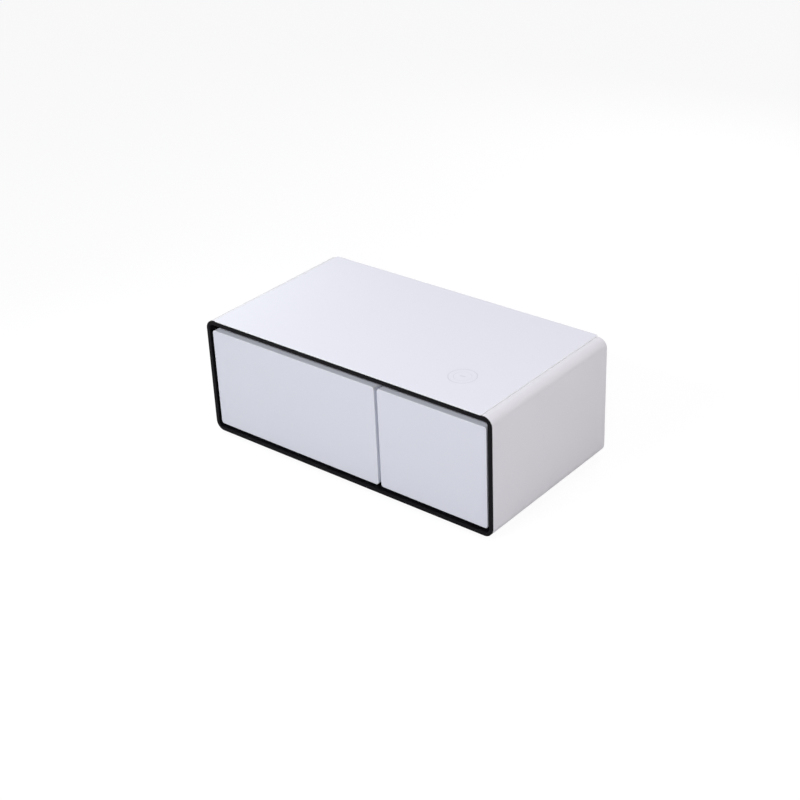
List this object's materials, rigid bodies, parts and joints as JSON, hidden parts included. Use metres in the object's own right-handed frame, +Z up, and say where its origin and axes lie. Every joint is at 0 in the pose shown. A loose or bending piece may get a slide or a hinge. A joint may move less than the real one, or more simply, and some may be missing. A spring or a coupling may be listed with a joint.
{
  "type": "coffee table",
  "caption": "Low coffee table: a rounded white tube body with a black front frame, a glass top with a charging ring, and cooled drawers on telescopic slides.",
  "frame": {"origin": "on the floor, under the middle of the table", "axes": "+X to the right seen from the front, +Y from the front frame to the back panel, +Z up"},
  "size_m": [1.3, 0.7, 0.48],
  "materials": {
    "shell_paint": "satin white paint",
    "top_glass": "glass painted white on its back",
    "ring_mark": "printed grey",
    "front_paint": "satin white paint",
    "frame_black": "black anodised",
    "carcass_board": "raw fibreboard",
    "foot_rubber": "matte",
    "seal_rubber": "matte",
    "liner_plastic": "fine-grained white",
    "foam": "foamed in place",
    "plate_black": "black powder coat",
    "panel_grey": "grey powder coat",
    "zinc_steel": "zinc plated",
    "cold_aluminium": "satin",
    "copper": "drawn copper",
    "compressor_black": "black enamel",
    "black_plastic": "moulded",
    "grey_plastic": "moulded",
    "bin_plastic": "smooth moulded",
    "lamp_lens": "frosted",
    "circuit_board": "lacquered"
  },
  "bodies": {
    "cabinet": {"left_shell": "shell_paint", "right_shell": "shell_paint", "top_deck": "carcass_board", "base_board": "carcass_board", "glass_top": "top_glass", "charging_ring_mark": "ring_mark", "charging_coil": "copper", "charging_board": "circuit_board", "foot_front_left": "foot_rubber", "foot_front_right": "foot_rubber", "foot_back_left": "foot_rubber", "foot_back_right": "foot_rubber", "front_frame": "frame_black", "back_panel": "panel_grey", "face_plate": "plate_black", "insulation": "foam", "bulkhead": "zinc_steel", "left_liner": "liner_plastic", "left_cold_plate": "cold_aluminium", "left_lamp": "lamp_lens", "left_outer_rail_left": "zinc_steel", "left_outer_rail_right": "zinc_steel", "right_liner": "liner_plastic", "right_cold_plate": "cold_aluminium", "right_lamp": "lamp_lens", "right_outer_rail_left": "zinc_steel", "right_outer_rail_right": "zinc_steel", "compressor_mount": "zinc_steel", "compressor": "compressor_black", "condenser": "cold_aluminium", "fan_frame": "black_plastic", "filter_drier": "copper", "discharge_pipe": "copper", "capillary_pipe": "copper", "link_pipe": "copper", "suction_pipe": "copper", "control_box": "grey_plastic", "control_board": "circuit_board", "power_inlet": "black_plastic"},
    "left_drawer": {"left_front_skin": "front_paint", "left_front_core": "foam", "left_inner_panel": "liner_plastic", "left_gasket": "seal_rubber", "left_carrier": "zinc_steel", "left_bin": "bin_plastic", "left_inner_rail_left": "zinc_steel", "left_inner_rail_right": "zinc_steel"},
    "left_middle_rails": {"left_middle_rail_left": "zinc_steel", "left_middle_rail_right": "zinc_steel"},
    "right_drawer": {"right_front_skin": "front_paint", "right_front_core": "foam", "right_inner_panel": "liner_plastic", "right_gasket": "seal_rubber", "right_carrier": "zinc_steel", "right_bin": "bin_plastic", "right_inner_rail_left": "zinc_steel", "right_inner_rail_right": "zinc_steel"},
    "right_middle_rails": {"right_middle_rail_left": "zinc_steel", "right_middle_rail_right": "zinc_steel"},
    "fan": {"fan_rotor": "grey_plastic"}
  },
  "joints": [
    {"name": "left_drawer_slide", "type": "slide", "parent": "cabinet", "child": "left_drawer", "axis": [0, -1, 0], "range_m": [0, 0.4]},
    {"name": "left_rails_slide", "type": "slide", "parent": "cabinet", "child": "left_middle_rails", "axis": [0, -1, 0], "range_m": [0, 0.2]},
    {"name": "right_drawer_slide", "type": "slide", "parent": "cabinet", "child": "right_drawer", "axis": [0, -1, 0], "range_m": [0, 0.4]},
    {"name": "right_rails_slide", "type": "slide", "parent": "cabinet", "child": "right_middle_rails", "axis": [0, -1, 0], "range_m": [0, 0.2]},
    {"name": "fan_spin", "type": "hinge", "parent": "cabinet", "child": "fan", "pos_m": [0.078, 0.2925, 0.0823], "axis": [0, 1, 0], "continuous": true}
  ],
  "couplings": [
    {"joint": "left_rails_slide", "follows": "left_drawer_slide", "ratio": 0.5},
    {"joint": "right_rails_slide", "follows": "right_drawer_slide", "ratio": 0.5}
  ]
}
